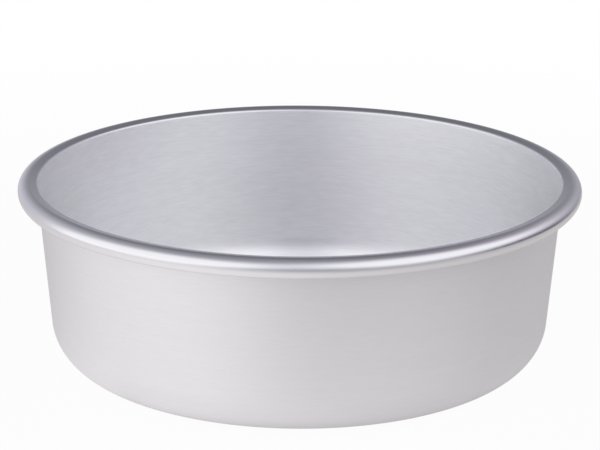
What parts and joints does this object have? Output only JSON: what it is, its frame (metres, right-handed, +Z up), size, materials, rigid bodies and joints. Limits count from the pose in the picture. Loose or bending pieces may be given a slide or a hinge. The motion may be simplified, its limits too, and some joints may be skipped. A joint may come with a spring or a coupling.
{
  "type": "cake tin",
  "caption": "Round open-topped baking tin drawn from one aluminium sheet, with a flat base, rounded corner, leaning wall and hollow rolled rim.",
  "frame": {"origin": "centre of the base, on the surface that the tin stands on", "axes": "+Z up through the open top, along the axis that the tin is turned about; X and Y are alike"},
  "size_m": [0.22, 0.22, 0.0735],
  "materials": {
    "satin_aluminium": "satin, with fine lines round the axis from spinning"
  },
  "bodies": {
    "root": {"tin_shell": "satin_aluminium"}
  },
  "joints": []
}
